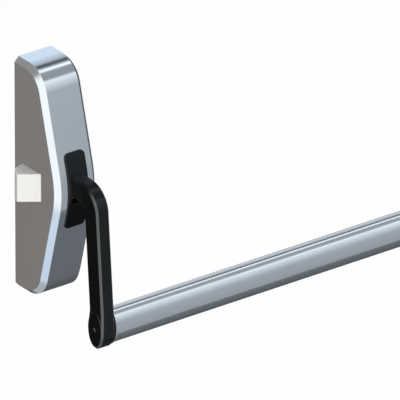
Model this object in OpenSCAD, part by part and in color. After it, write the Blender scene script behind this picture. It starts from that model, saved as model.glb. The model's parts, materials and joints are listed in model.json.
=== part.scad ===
// Push-bar panic device for the inside of an escape door.
// An oval bar hangs on two cranked arms, and each arm turns inside a wall-mounted case.
// Pushing the bar turns a rocker in the left case, which draws the latch bolt in.
// X runs along the bar, the door is the plane y = 0, the device stands out towards -Y,
// and the origin is the middle of the back of the latch case.

/* [Case] */
// Width of a case across its two flat sides
case_w = 51; // [46:0.5:70]
// Height of a case
case_h = 260; // [240:1:320]
// Depth of a case at mid-height
case_d = 72.5; // [71.5:0.5:90]
// Angle of the sloping front faces from the vertical
case_slope = 14.6; // [10:0.1:17]
// Bevel round the two sides of a case
case_bevel = 5.4; // [3:0.1:6]
// Radius where the two front slopes meet
case_peak_r = 95; // [60:1:110]
// Radius of the top and bottom front corners
case_corner_r = 32; // [20:1:36]
// Wall thickness of the case cover
cover_t = 1.6; // [1.2:0.1:2]

/* [Face plate] */
// Width of the black plate that the arm comes out of
face_w = 25; // [23:0.5:30]
// Height of the black plate
face_h = 84; // [70:1:100]
// Thickness of the black plate
face_t = 3; // [2:0.1:4]
// Corner radius of the black plate
face_r = 5; // [3:0.5:8]
// Bevel round the rim of the black plate
face_bevel = 0.8; // [0.4:0.1:1.2]

/* [Chassis] */
// Thickness of the folded steel chassis
chassis_t = 2.5; // [2:0.1:3]
// Height of the chassis back plate
chassis_h = 240; // [210:1:240]
// Gap between chassis and cover
chassis_gap = 0.4; // [0.3:0.1:0.6]
// Sideways distance between the door screw holes
door_hole_dx = 28; // [24:1:32]
// Upright distance between the door screw holes
door_hole_dz = 150; // [120:1:170]
// Radius of the door screw holes
door_hole_r = 3.25; // [2.5:0.25:4]
// Height from mid-case of the two cover screws
cover_screw_z = 96; // [80:1:100]
// Shank radius of the cover screws
cover_screw_r = 2; // [1.5:0.1:2.5]

/* [Arm] */
// Width of an arm along the bar
arm_w = 16; // [14:0.5:18]
// Thickness of an arm from front to back
arm_t = 23; // [20:0.5:24]
// Bevel along the arm's edges
arm_bevel = 2.1; // [1:0.1:2.5]
// Outward tilt of the hanging part of an arm
arm_tilt = 4.3; // [0:0.1:6]
// Outer radius of the arm's elbow
elbow_r = 30; // [28:0.5:34]
// How far the elbow's centre stands in front of the case
elbow_out = 14.5; // [10:0.5:30]
// Height of the neck's top face above mid-case
neck_top = 18; // [16:0.5:18]
// Rim of the oval boss round the bar's outline
boss_rim = 1.85; // [1.4:0.05:4]
// How far the boss stands proud of the arm's sides
boss_proud = 0.4; // [0.2:0.1:1]
// Radius of the hub that turns on the axle
hub_r = 10.5; // [9:0.1:10.8]
// Width of the finger on the hub
finger_w = 7; // [6.5:0.1:8]
// Thickness of the finger on the hub
finger_t = 5; // [4:0.1:5.5]

/* [Pivot] */
// Radius of the axle
axle_r = 4; // [3:0.1:4.5]
// Running clearance of the bushes on the axle
run_fit = 0.06; // [0.02:0.01:0.1]
// Wall of the bushes
bush_t = 1.4; // [1:0.1:1.6]
// Thickness of the bush flanges
flange_t = 1; // [0.8:0.1:1.2]
// Angle that the arms swing towards the door
swing = 18; // [12:1:18]
// Wire diameter of the return springs
return_wire = 1.8; // [1.4:0.1:2]
// Turns of a return spring
return_turns = 4; // [3:1:5]

/* [Bar] */
// Distance between the middles of the two cases
span = 840; // [400:10:1400]
// Depth of the oval bar
bar_d = 22.4; // [18:0.1:30]
// Height of the oval bar
bar_h = 39.2; // [30:0.1:46]
// Wall of the bar
bar_t = 2; // [1.5:0.1:3]
// Drop of the bar's middle below mid-case
bar_drop = 139; // [120:1:160]
// Width of the grooves along the bar
groove_w = 1.4; // [0.8:0.1:2]
// Depth of the grooves along the bar
groove_deep = 0.9; // [0.5:0.1:1.2]
// Angle of the grooves up and down from the front of the bar
groove_angle = 73; // [60:1:80]
// Thickness of the collar between arm and bar
collar_t = 2; // [1:0.1:3]
// How far the collar stands over the bar's outline
collar_lip = 0.9; // [0.5:0.1:1.2]
// Length of the plug inside the bar
plug_len = 34; // [20:1:60]
// Clearance of the plug in the bar
plug_fit = 0.2; // [0.1:0.05:0.4]
// Radius of the socket set screw that holds the bar
bar_screw_r = 2; // [1.5:0.1:3]

/* [Latch] */
// How far the latch bolt stands out of the case
latch_throw = 19.6; // [12:0.1:20]
// Height of the latch bolt
latch_h = 31; // [20:0.5:34]
// Depth of the latch bolt
latch_d = 30.6; // [24:0.1:32]
// Distance of the latch bolt's back from the door
latch_back = 14.2; // [10:0.1:17]
// Radius at the back of the latch bolt's nose
nose_r = 18; // [12:0.1:20]
// Depth from the round's middle to the nose's edge, where the bevel starts
nose_run = -1.6; // [-4:0.1:4]
// Sliding clearance of the latch bolt in its guide
latch_fit = 0.35; // [0.2:0.05:0.5]
// Thickness of the latch guide
guide_t = 4; // [3:0.1:5]
// Length of the flange at the latch bolt's inner end
tail_t = 7; // [6:0.1:8]
// Distance of the latch spring from the door
spring_d = 24; // [22:0.1:30]
// Wire diameter of the latch spring
latch_wire = 1.2; // [1:0.1:1.4]
// Mean radius of the latch spring
latch_coil_r = 4.6; // [4.2:0.1:4.8]
// Turns of the latch spring
latch_turns = 12; // [10:1:14]

/* [Rocker] */
// Thickness of the rocker
rocker_t = 5; // [4:0.1:5]
// Width of the rocker's long arm beside its slot
long_w = 5; // [4:0.1:5.5]
// Width of the rocker's short arm
short_w = 4.4; // [4:0.1:4.6]
// Radius of the pad on the short arm
pad_r = 3; // [2.5:0.1:3]
// Radius of the drive pin on the latch bolt
drive_r = 2; // [1.6:0.1:2.2]
// Clearance of the drive pin in the rocker's slot
slot_fit = 0.45; // [0.4:0.05:0.5]
// Radius of the pin that the rocker turns on
rocker_pin_r = 2.5; // [2:0.1:2.8]

/* [Hidden] */

SILVER = [0.72, 0.74, 0.76];
STEEL = [0.62, 0.63, 0.64];
BLACK = [0.10, 0.11, 0.12];
LATCH_GREY = [0.80, 0.79, 0.77];
NYLON = [0.86, 0.85, 0.80];
SPRING_STEEL = [0.45, 0.46, 0.48];
RUBBER = [0.15, 0.15, 0.15];

// Small overlap that lets a cut run past a face
cut = 1;
// General gap between pieces that lie side by side
seat = 0.3;
// Overlap of two solids of one piece that meet end to end
join = 0.2;
// Gap under the black plate
face_gap = 0.1;
// Height and depth of the chassis ears, and the depth of the cover screws in them
ear_h = 16;
ear_d = 18;
cover_screw_d = 12;
// Studs that hold the black plate in the cover
stud_r = 2;
stud_len = 8;
stud_z = face_h / 2 - 7;
// Slots that lighten the chassis back plate
light_slot_w = 10;
light_slot_h = 40;
// Back edge of the shelf over the rocker
shelf_back = 16;
// How far a bush goes into the hub
bush_len = 6;
// Rim of the nylon guide round the latch bolt
guide_rim = 3.9;
// Rod inside the latch spring, and the stem of the stop buffer
spring_rod_r = 2.5;
stop_stem_r = 1.2;
// Slits that make the plug's tongue springy
plug_cut = 3;
// Rim of the rocker round its pin and its slot
rocker_rim = 2.4;
// How far the drive pin goes into the latch bolt
drive_root = 8.5;
// Facets of small round parts
round_fn = 48;
// Facets of the case outline's arcs
arc_fn = 180;

// Front slope of the case as the line where depth * cos + height * sin is slope_reach
peak_d = case_d + case_peak_r * (1 / cos(case_slope) - 1);
slope_reach = peak_d * cos(case_slope);
peak_c = (slope_reach - case_peak_r) / cos(case_slope);
corner_z = case_h / 2 - case_corner_r;
corner_d = (slope_reach - case_corner_r - corner_z * sin(case_slope)) / cos(case_slope);

side_x = case_w / 2;
cheek_out = side_x - cover_t - chassis_gap;
cheek_in = cheek_out - chassis_t;

// The axle clears the latch bolt by the hub, and the rocker runs over the bolt's flange and the neck
axle_d = latch_back + latch_d + 0.7 + hub_r;
tail_h = latch_h + 5;
rocker_z = max(tail_h / 2, neck_top) + 2;
rocker_d = axle_d + 1;
drive_d = latch_back + latch_d / 2;
cheek_front = axle_d + 5.2;
shelf_z = rocker_z + rocker_t + 1;
cheek_top = shelf_z + chassis_t;
cheek_bottom = -latch_h / 2 - 4.5;

neck_mid = neck_top - arm_t / 2;
elbow_z = neck_top - elbow_r;
elbow_d = case_d + elbow_out;
strap_len = (bar_drop + elbow_z + elbow_r * sin(arm_tilt)) / cos(arm_tilt);

// The boss hangs inside the strap's outer face, and the bar in its middle
boss_h = bar_h + 2 * boss_rim;
boss_d = bar_d + 2 * boss_rim;
strap_d = elbow_d + (elbow_r + (bar_drop + elbow_z) * sin(arm_tilt)) / cos(arm_tilt);
bar_reach = strap_d - 1.2 - boss_d / 2;

bush_r = axle_r + bush_t;
spacer_r = bush_r + 0.7;
spacer_in = arm_w / 2 + flange_t + seat;
return_r = spacer_r + return_wire / 2 + 0.8;
peg_r = 1.6;
peg_d = axle_d + return_r + 4.6;

// Slot that the neck moves in, from the swing of its lower edge at the plate's outer face
slot_w = arm_w + 1.6;
slot_top = neck_top + 0.9;
neck_reach = case_d + face_t - axle_d;
slot_bottom = (neck_top - arm_t) * cos(swing) - neck_reach * sin(swing) - 1.2;
slot_rim = 0.6;

// Lip of the black plate that reaches in through the cover and closes the gap under the neck
lip_t = 1.2;
lip_w = slot_w + 2 * (slot_rim - seat);
lip_back = axle_d + 6.5;

collar_x = arm_w / 2 + boss_proud;
plug_x = collar_x + collar_t;
bar_len = span - 2 * plug_x;

latch_x = -side_x;
guide_in = -cheek_in + guide_t;
tail_x = guide_in + 0.1;
drive_x = tail_x + tail_t / 2;
drive_low = tail_h / 2 - drive_root;
bore_r = latch_coil_r + latch_wire / 2 + 0.7;
bore_end = latch_x - latch_throw + 8;

// Rocker pivot lies over the middle of the drive pin's path
rocker_x = drive_x + latch_throw / 2;
rocker_reach = rocker_d - drive_d;
rocker_half = atan(latch_throw / 2 / rocker_reach);
slot_near = rocker_reach - 0.4;
slot_far = rocker_reach / cos(rocker_half) + 0.4;
slot_r = drive_r + slot_fit;

// The short arm takes up the finger's sweep, which is the same for the pad between its two ends
finger_h = rocker_z + rocker_t - 0.5;
finger_lead = rocker_d - pad_r - 0.5;
finger_sweep = (axle_d - finger_lead) * (1 - cos(swing)) + finger_h * sin(swing) + 0.1;
short_arm = finger_sweep / (1 + cos(swing)) / sin(rocker_half);
pad_x = rocker_x + short_arm * cos(rocker_half);
pad_d = rocker_d - short_arm * sin(rocker_half);
finger_front = pad_d - pad_r - 0.5;
finger_back = finger_front - finger_t;
finger_x = pad_x - 3.2;
finger_root = hub_r * 0.6;
stop_x = pad_x + 1.2;
stop_z = rocker_z + 3.5;
stop_r = 2;
stop_front = finger_back - seat;
stop_back = stop_front - 4.2;

// Puts a profile drawn in depth and height across the width from x to x + len
module across(x, len) {
    translate([x, 0, 0])
        rotate([90, 0, 90])
            linear_extrude(height = len)
                mirror([1, 0])
                    children();
}

// Puts a front-view outline drawn in x and z at depths from d to d + len
module outward(d, len) {
    translate([0, -d, 0])
        rotate([90, 0, 0])
            linear_extrude(height = len)
                children();
}

// Round rod along X from x to x + len at a depth and a height
module rod_x(x, len, r, d, z) {
    translate([x, -d, z])
        rotate([0, 90, 0])
            cylinder(h = len, r = r, $fn = round_fn);
}

// Round rod standing out from the door, from depth d to d + len
module rod_y(x, z, r, d, len) {
    translate([x, -d, z])
        rotate([90, 0, 0])
            cylinder(h = len, r = r, $fn = round_fn);
}

// Upright rod at x and depth d
module rod_z(x, d, z, len, r) {
    translate([x, -d, z])
        cylinder(h = len, r = r, $fn = round_fn);
}

// Box from its low x, depth and height, with its sizes
module block(x, d, z, size) {
    translate([x, -d - size[1], z])
        cube(size);
}

// Sets the hinge side's pieces at the far end, turned to face back along the bar
module at_hinge_side() {
    translate([span, 0, 0])
        mirror([1, 0, 0])
            children();
}

// Oval outline of half depth a and half height b
function oval(a, b, n = 48) = [for (i = [0 : n - 1]) [a * cos(360 * i / n), b * sin(360 * i / n)]];

// Rectangle with rounded corners, centred
module round_rect(w, h, r) {
    square([w - 2 * r, h], center = true);
    square([w, h - 2 * r], center = true);
    for (sx = [-1, 1])
        for (sz = [-1, 1])
            translate([sx * (w / 2 - r), sz * (h / 2 - r)])
                circle(r = r, $fn = round_fn);
}

// Side outline of the case, drawn in by inset on every edge but the back, which ends at depth back
module case_outline(inset = 0, back = 0) {
    peak_r = case_peak_r - inset;
    corner_r = case_corner_r - inset;
    top = case_h / 2 - inset;
    reach_d = cos(case_slope);
    reach_z = sin(case_slope);
    polygon([
        [back, -top],
        [corner_d, -top],
        [corner_d + corner_r * reach_d, -corner_z - corner_r * reach_z],
        [peak_c + peak_r * reach_d, -peak_r * reach_z],
        [peak_c + peak_r * reach_d, peak_r * reach_z],
        [corner_d + corner_r * reach_d, corner_z + corner_r * reach_z],
        [corner_d, top],
        [back, top]
    ]);
    intersection() {
        translate([peak_c, 0])
            circle(r = peak_r, $fn = arc_fn);
        polygon([
            [peak_c + peak_r * reach_d, -peak_r * reach_z],
            [peak_c + 2 * peak_r * reach_d, -2 * peak_r * reach_z],
            [peak_c + 2 * peak_r * reach_d, 2 * peak_r * reach_z],
            [peak_c + peak_r * reach_d, peak_r * reach_z]
        ]);
    }
    for (s = [-1, 1])
        translate([corner_d, s * corner_z])
            intersection() {
                circle(r = corner_r, $fn = arc_fn);
                translate([0, s > 0 ? 0 : -corner_r])
                    square([corner_r, corner_r]);
            }
}

// Case form with both sides bevelled, drawn in by inset all over
module case_form(inset = 0, back = 0) {
    side_inset = inset * (sqrt(2) - 1);
    hull() {
        across(-side_x + case_bevel + side_inset, case_w - 2 * (case_bevel + side_inset))
            case_outline(inset, back);
        across(-side_x + inset, case_w - 2 * inset)
            case_outline(case_bevel + side_inset, back);
    }
}

// Depth of the black plate's middle layer at height z
function stud_front(z) = peak_d - z * tan(case_slope) + face_t / 2;

// Opening in the front for the arm's neck, with a margin all round
module neck_slot(margin = 0) {
    outward(case_d - 16, 30)
        translate([-slot_w / 2 - margin, slot_bottom - margin])
            square([slot_w + 2 * margin, slot_top - slot_bottom + 2 * margin]);
}

module cover_shell() {
    difference() {
        case_form();
        case_form(cover_t, -cut);
        neck_slot(slot_rim);
        // Room for the black plate's lip
        translate([0, 0, slot_rim - lip_t - seat])
            neck_slot(slot_rim);
        for (s = [-1, 1])
            rod_x(cheek_out, side_x, cover_screw_r + seat, cover_screw_d, s * cover_screw_z);
        for (s = [-1, 1])
            rod_y(0, s * stud_z, stud_r + seat, case_d - 20, 30);
    }
}

module latch_case_cover() {
    color(SILVER)
        difference() {
            cover_shell();
            block(-side_x - cut, latch_back - latch_fit, -latch_h / 2 - latch_fit,
                [cover_t + 2 * cut, latch_d + 2 * latch_fit, latch_h + 2 * latch_fit]);
        }
}

module hinge_case_cover() {
    color(SILVER)
        at_hinge_side()
            cover_shell();
}

// Folded chassis: a back plate, two cheeks for the axle, a stop tab and two ears for the cover
module chassis_body() {
    difference() {
        union() {
            block(-cheek_out, 0, -chassis_h / 2, [2 * cheek_out, chassis_t, chassis_h]);
            for (x = [-cheek_out, cheek_in])
                block(x, chassis_t - join, cheek_bottom,
                    [chassis_t, cheek_front - chassis_t + join, cheek_top - cheek_bottom]);
            block(stop_x - stop_r, stop_back - chassis_t, rocker_z - 1,
                [cheek_in - stop_x + stop_r + join, chassis_t, 8.5]);
            for (s = [-1, 1])
                block(cheek_in, chassis_t - join, s * cover_screw_z - ear_h / 2, [chassis_t, ear_d, ear_h]);
        }
        rod_x(-side_x, case_w, axle_r + 0.02, axle_d, 0);
        for (sx = [-1, 1])
            for (sz = [-1, 1])
                rod_y(sx * door_hole_dx / 2, sz * door_hole_dz / 2, door_hole_r, -cut, chassis_t + 2 * cut);
        for (s = [-1, 1])
            rod_x(cheek_in - cut, chassis_t + 2 * cut, cover_screw_r + 0.05, cover_screw_d, s * cover_screw_z);
        rod_y(stop_x, stop_z, stop_stem_r + 0.05, stop_back - chassis_t - cut, chassis_t + 2 * cut);
        // Lightening slots in the back plate above and below the cheeks
        for (s = [-1, 1])
            outward(-cut, chassis_t + 2 * cut)
                translate([0, s * (cheek_top + case_h / 2 - 24) / 2])
                    round_rect(light_slot_w, light_slot_h, light_slot_w / 2 - 0.1);
    }
}

module latch_case_chassis() {
    color(STEEL) {
        difference() {
            chassis_body();
            block(-cheek_out - cut, latch_back - latch_fit, -latch_h / 2 - latch_fit,
                [chassis_t + 2 * cut, latch_d + 2 * latch_fit, latch_h + 2 * latch_fit]);
            rod_x(cheek_in - cut, chassis_t + 2 * cut, spring_rod_r + 0.03, spring_d, 0);
        }
        // Shelf folded from the left cheek, which carries the rocker's pin
        difference() {
            block(-cheek_in - join, shelf_back, shelf_z,
                [cheek_in + rocker_x + 5.5, cheek_front - shelf_back, chassis_t]);
            rod_z(rocker_x, rocker_d, shelf_z - cut, chassis_t + 2 * cut, rocker_pin_r + 0.02);
        }
    }
}

module hinge_case_chassis() {
    color(STEEL)
        at_hinge_side()
            chassis_body();
}

// Part of the case form's front that lies under a rounded rectangle, drawn out by grow
module front_pad(w, h, r, grow) {
    intersection() {
        across(-w / 2, w)
            case_outline(-grow);
        outward(case_d - 20, 30)
            round_rect(w, h, r);
    }
}

// Black plate that follows the case front round its peak, with a bevelled rim, a lip and two studs
module face_plate_body() {
    difference() {
        hull() {
            front_pad(face_w, face_h, face_r, face_t - face_bevel);
            front_pad(face_w - 2 * face_bevel, face_h - 2 * face_bevel, face_r - face_bevel, face_t);
        }
        across(-face_w, 2 * face_w)
            case_outline(-face_gap);
        neck_slot();
    }
    block(-lip_w / 2, lip_back, slot_bottom - lip_t, [lip_w, case_d + face_t / 2 - lip_back, lip_t]);
    for (s = [-1, 1])
        rod_y(0, s * stud_z, stud_r, stud_front(stud_z) - stud_len, stud_len);
}

module latch_face_plate() {
    color(BLACK)
        face_plate_body();
}

module hinge_face_plate() {
    color(BLACK)
        at_hinge_side()
            face_plate_body();
}

// Button-head screws that hold the cover to the chassis ears
module cover_screw_pair() {
    for (s = [-1, 1])
        difference() {
            union() {
                rod_x(cheek_in - 1.5, side_x - cheek_in + 1.6, cover_screw_r, cover_screw_d, s * cover_screw_z);
                rod_x(side_x, 1.4, cover_screw_r + 1.8, cover_screw_d, s * cover_screw_z);
            }
            translate([side_x + 0.5, -cover_screw_d, s * cover_screw_z])
                rotate([0, 90, 0])
                    cylinder(h = 2, r = 1.3, $fn = 6);
        }
}

module latch_cover_screws() {
    color(STEEL)
        cover_screw_pair();
}

module hinge_cover_screws() {
    color(STEEL)
        at_hinge_side()
            cover_screw_pair();
}

// Section of the arm as [x, y] points: w wide and t thick with bevelled edges, its outer face at y = 0
arm_section = [
    [-arm_w / 2, -arm_t + arm_bevel],
    [-arm_w / 2 + arm_bevel, -arm_t],
    [arm_w / 2 - arm_bevel, -arm_t],
    [arm_w / 2, -arm_t + arm_bevel],
    [arm_w / 2, -arm_bevel],
    [arm_w / 2 - arm_bevel, 0],
    [-arm_w / 2 + arm_bevel, 0],
    [-arm_w / 2, -arm_bevel]
];

// Ring of the arm's section whose outer face passes depth d and height z, facing up by angle a
function arm_ring(d, z, a) =
    [for (p = arm_section) [p[0], -d - p[1] * cos(a), z + p[1] * sin(a)]];

// Ring down the strap, at a length from the elbow's end
function strap_ring(len) = arm_ring(
    elbow_d + elbow_r * cos(arm_tilt) + len * sin(arm_tilt),
    elbow_z + elbow_r * sin(arm_tilt) - len * cos(arm_tilt),
    arm_tilt);

// Flat oval of the boss, half_w to each side of the arm's middle, smaller by inset
module boss_oval(half_w, inset) {
    across(-half_w, 2 * half_w)
        translate([bar_reach, -bar_drop])
            polygon(oval(boss_d / 2 - inset, boss_h / 2 - inset));
}

// Cranked arm: hub and finger inside the case, neck, elbow, hanging strap and oval boss
module arm_body() {
    elbow_steps = 20;
    strap_end = strap_len - boss_h / 2;
    elbow_rings = [
        for (i = [0 : elbow_steps])
            let (a = 90 - (90 - arm_tilt) * i / elbow_steps)
                arm_ring(elbow_d + elbow_r * cos(a), elbow_z + elbow_r * sin(a), a)
    ];
    difference() {
        union() {
            rod_x(-arm_w / 2 + 0.05, arm_w - 0.1, hub_r, axle_d, 0);
            // Neck, elbow and strap
            sweep(concat([arm_ring(axle_d, neck_top, 90)], elbow_rings, [strap_ring(strap_end)]));
            // End of the strap, run out into the boss
            hull() {
                sweep([strap_ring(strap_end - join), strap_ring(strap_end)]);
                boss_oval(arm_w / 2, arm_bevel);
                boss_oval(arm_w / 2 - arm_bevel, 0);
            }
            // Boss
            hull() {
                boss_oval(arm_w / 2 + boss_proud, arm_bevel);
                boss_oval(arm_w / 2 + boss_proud - arm_bevel, 0);
            }
            // Finger that pushes the rocker, and rests on the stop buffer
            block(finger_x, finger_back, finger_root, [arm_w / 2 - finger_x, finger_t, finger_h - finger_root]);
            block(finger_x, finger_back, hub_r + 1.5, [finger_w, finger_t, finger_h - hub_r - 1.5]);
            // Peg that the return spring's leg pushes up
            rod_x(arm_w / 2 - cut, cut + 3.5, peg_r, peg_d, peg_r + seat - return_r + return_wire / 2);
        }
        rod_x(-arm_w / 2 - cut, arm_w + 2 * cut, bush_r, axle_d, 0);
        rod_x(-collar_x - cut, 2 * (collar_x + cut), bar_screw_r + 0.02, bar_reach, -bar_drop);
    }
}

module latch_arm() {
    color(BLACK)
        arm_body();
}

module hinge_arm() {
    color(BLACK)
        at_hinge_side()
            arm_body();
}

module axle_rod() {
    rod_x(-cheek_out, 2 * cheek_out, axle_r, axle_d, 0);
}

module latch_arm_axle() {
    color(STEEL)
        axle_rod();
}

module hinge_arm_axle() {
    color(STEEL)
        at_hinge_side()
            axle_rod();
}

// Two flanged bushes pressed into the hub from its two sides
module bush_pair() {
    for (s = [0, 1])
        mirror([s, 0, 0])
            difference() {
                union() {
                    rod_x(arm_w / 2 - bush_len, bush_len + flange_t, bush_r, axle_d, 0);
                    rod_x(arm_w / 2, flange_t, bush_r + 2, axle_d, 0);
                }
                rod_x(0, arm_w, axle_r + run_fit, axle_d, 0);
            }
}

module latch_arm_bushes() {
    color("darkgoldenrod")
        bush_pair();
}

module hinge_arm_bushes() {
    color("darkgoldenrod")
        at_hinge_side()
            bush_pair();
}

// Two sleeves that keep the hub in the middle of the axle
module spacer_pair() {
    for (s = [0, 1])
        mirror([s, 0, 0])
            difference() {
                rod_x(spacer_in, cheek_in - seat / 2 - spacer_in, spacer_r, axle_d, 0);
                rod_x(0, side_x, axle_r + run_fit, axle_d, 0);
            }
}

module latch_axle_spacers() {
    color(BLACK)
        spacer_pair();
}

module hinge_axle_spacers() {
    color(BLACK)
        at_hinge_side()
            spacer_pair();
}

// Closed skin over a list of rings, each with its points turning the same way about the path
module sweep(rings) {
    sides = len(rings[0]);
    end = (len(rings) - 1) * sides;
    skin = [
        for (i = [0 : len(rings) - 2])
            for (k = [0 : sides - 1])
                let (a = i * sides + k, b = i * sides + (k + 1) % sides)
                    each [[a, b + sides, b], [a, a + sides, b + sides]]
    ];
    first_cap = [for (k = [1 : sides - 2]) [0, k, k + 1]];
    last_cap = [for (k = [1 : sides - 2]) [end, end + k + 1, end + k]];
    polyhedron(points = [for (ring = rings) each ring], faces = concat(skin, first_cap, last_cap));
}

// Wire of round section swept along points; the X axis is never along the path
function unit(v) = v / norm(v);
function heading(path, i) =
    unit(path[min(i + 1, len(path) - 1)] - path[max(i - 1, 0)]);
module wire(path, r, sides = 6) {
    sweep([
        for (i = [0 : len(path) - 1])
            let (t = heading(path, i), u = unit(cross(t, [1, 0, 0])), v = cross(t, u))
                [for (k = [0 : sides - 1]) path[i] + r * (cos(360 * k / sides) * u + sin(360 * k / sides) * v)]
    ]);
}

// Torsion spring round the spacer: a leg from the back plate, whole turns, and a leg under the peg
module return_coil() {
    steps = 14;
    far_x = cheek_in - return_wire / 2 - 0.4;
    near_x = spacer_in + return_wire / 2 + 0.4;
    coil = [
        for (i = [0 : return_turns * steps])
            let (a = -90 - 360 * i / steps, part = i / return_turns / steps)
                [far_x + (near_x - far_x) * part, -axle_d + return_r * cos(a), return_r * sin(a)]
    ];
    leg_a = [far_x, -chassis_t - return_wire / 2 - 0.2, -return_r];
    leg_b = [near_x, -peg_d - peg_r, -return_r];
    wire(concat([leg_a], coil, [leg_b]), return_wire / 2);
}

module latch_return_spring() {
    color(SPRING_STEEL)
        return_coil();
}

module hinge_return_spring() {
    color(SPRING_STEEL)
        at_hinge_side()
            return_coil();
}

// Rubber buffer that the finger rests on, with a stem pushed into the chassis tab
module buffer_body() {
    rod_y(stop_x, stop_z, stop_r, stop_back, stop_front - stop_back);
    rod_y(stop_x, stop_z, stop_stem_r, stop_back - chassis_t - 0.6, chassis_t + 0.6 + join);
}

module latch_stop_buffer() {
    color(RUBBER)
        buffer_body();
}

module hinge_stop_buffer() {
    color(RUBBER)
        at_hinge_side()
            buffer_body();
}

// Moulded plug: a collar that shows between arm and bar, and a ribbed tongue inside the bar
module plug_body() {
    inner_a = bar_d / 2 - bar_t - groove_deep - plug_fit;
    inner_b = bar_h / 2 - bar_t - groove_deep - plug_fit;
    difference() {
        union() {
            across(collar_x, collar_t)
                translate([bar_reach, -bar_drop])
                    polygon(oval(bar_d / 2 + collar_lip, bar_h / 2 + collar_lip));
            across(plug_x - join, plug_len + join)
                translate([bar_reach, -bar_drop])
                    polygon(oval(inner_a, inner_b));
        }
        rod_x(collar_x - cut, plug_len + cut, bar_screw_r + 0.02, bar_reach, -bar_drop);
        for (s = [-1, 1])
            block(plug_x + 4, bar_reach - inner_a - cut, -bar_drop + s * 7 - plug_cut / 2,
                [plug_len, 2 * inner_a + 2 * cut, plug_cut]);
    }
}

module latch_bar_plug() {
    color(BLACK)
        plug_body();
}

module hinge_bar_plug() {
    color(BLACK)
        at_hinge_side()
            plug_body();
}

// Socket set screw through the boss into the plug
module bar_screw_body() {
    difference() {
        rod_x(-collar_x + 0.6, 2 * collar_x + plug_len - 8, bar_screw_r, bar_reach, -bar_drop);
        translate([-collar_x, -bar_reach, -bar_drop])
            rotate([0, 90, 0])
                cylinder(h = 2.8, r = bar_screw_r * 0.6, $fn = 6);
    }
}

module latch_bar_screw() {
    color(STEEL)
        bar_screw_body();
}

module hinge_bar_screw() {
    color(STEEL)
        at_hinge_side()
            bar_screw_body();
}

// Oval aluminium tube with a fine groove along the top and the bottom of its front
module push_bar() {
    color(SILVER)
        across(plug_x, bar_len)
            translate([bar_reach, -bar_drop])
                difference() {
                    polygon(oval(bar_d / 2, bar_h / 2, 72));
                    polygon(oval(bar_d / 2 - bar_t - groove_deep, bar_h / 2 - bar_t - groove_deep));
                    for (s = [-1, 1])
                        translate([bar_d / 2 * cos(groove_angle), s * bar_h / 2 * sin(groove_angle)])
                            rotate(s * atan(bar_d / bar_h * tan(groove_angle)))
                                square([2 * groove_deep, groove_w], center = true);
                }
}

// Latch bolt: a bevelled nose with a round back, a square shank and a flange inside the guide
module latch_bolt() {
    nose_c = latch_x - latch_throw + nose_r;
    nose_z = latch_back + nose_r;
    nose_d = nose_z + nose_run;
    tip_x = nose_c - sqrt(nose_r * nose_r - (nose_d - nose_z) * (nose_d - nose_z));
    color(LATCH_GREY)
        difference() {
            union() {
                translate([0, 0, -latch_h / 2])
                    linear_extrude(height = latch_h)
                        mirror([0, 1])
                            union() {
                                polygon([
                                    [tip_x, nose_d],
                                    [nose_c, nose_z],
                                    [nose_c, latch_back],
                                    [tail_x + 0.1, latch_back],
                                    [tail_x + 0.1, latch_back + latch_d],
                                    [latch_x, latch_back + latch_d]
                                ]);
                                intersection() {
                                    translate([nose_c, nose_z])
                                        circle(r = nose_r, $fn = round_fn * 2);
                                    polygon([
                                        [tip_x, nose_d],
                                        [nose_c, nose_z],
                                        [nose_c, latch_back - cut],
                                        [nose_c - nose_r - cut, latch_back - cut],
                                        [nose_c - nose_r - cut, nose_d]
                                    ]);
                                }
                            }
                block(tail_x, latch_back, -tail_h / 2, [tail_t, latch_d, tail_h]);
            }
            rod_x(bore_end, tail_x + tail_t - bore_end + cut, bore_r, spring_d, 0);
            rod_z(drive_x, drive_d, drive_low, drive_root + cut, drive_r);
        }
}

module latch_drive_pin() {
    color(STEEL)
        rod_z(drive_x, drive_d, drive_low, rocker_z + rocker_t + 0.4 - drive_low, drive_r);
}

// Nylon frame on the cheek that the latch bolt slides through
module latch_guide() {
    color(NYLON)
        difference() {
            block(-cheek_in, latch_back - guide_rim, -latch_h / 2 - guide_rim,
                [guide_t, latch_d + 2 * guide_rim, latch_h + 2 * guide_rim]);
            block(-cheek_in - cut, latch_back - latch_fit, -latch_h / 2 - latch_fit,
                [guide_t + 2 * cut, latch_d + 2 * latch_fit, latch_h + 2 * latch_fit]);
        }
}

// Rod on the right cheek that keeps the latch spring straight
module latch_spring_rod() {
    color(STEEL)
        rod_x(-15, cheek_out + 15, spring_rod_r, spring_d, 0);
}

module latch_spring() {
    steps = 12;
    first_x = bore_end + latch_wire / 2 + 0.1;
    last_x = cheek_in - latch_wire / 2 - 0.1;
    color(SPRING_STEEL)
        wire([
            for (i = [0 : latch_turns * steps])
                let (a = 360 * i / steps, x = first_x + (last_x - first_x) * i / latch_turns / steps)
                    [x, -spring_d + latch_coil_r * cos(a), latch_coil_r * sin(a)]
        ], latch_wire / 2);
}

// Flat slot shape along the rocker's long arm, r to each side of the drive pin's path
module slot_shape(r) {
    hull()
        for (y = [slot_near, slot_far])
            translate([0, y])
                circle(r = r, $fn = round_fn);
}

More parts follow.
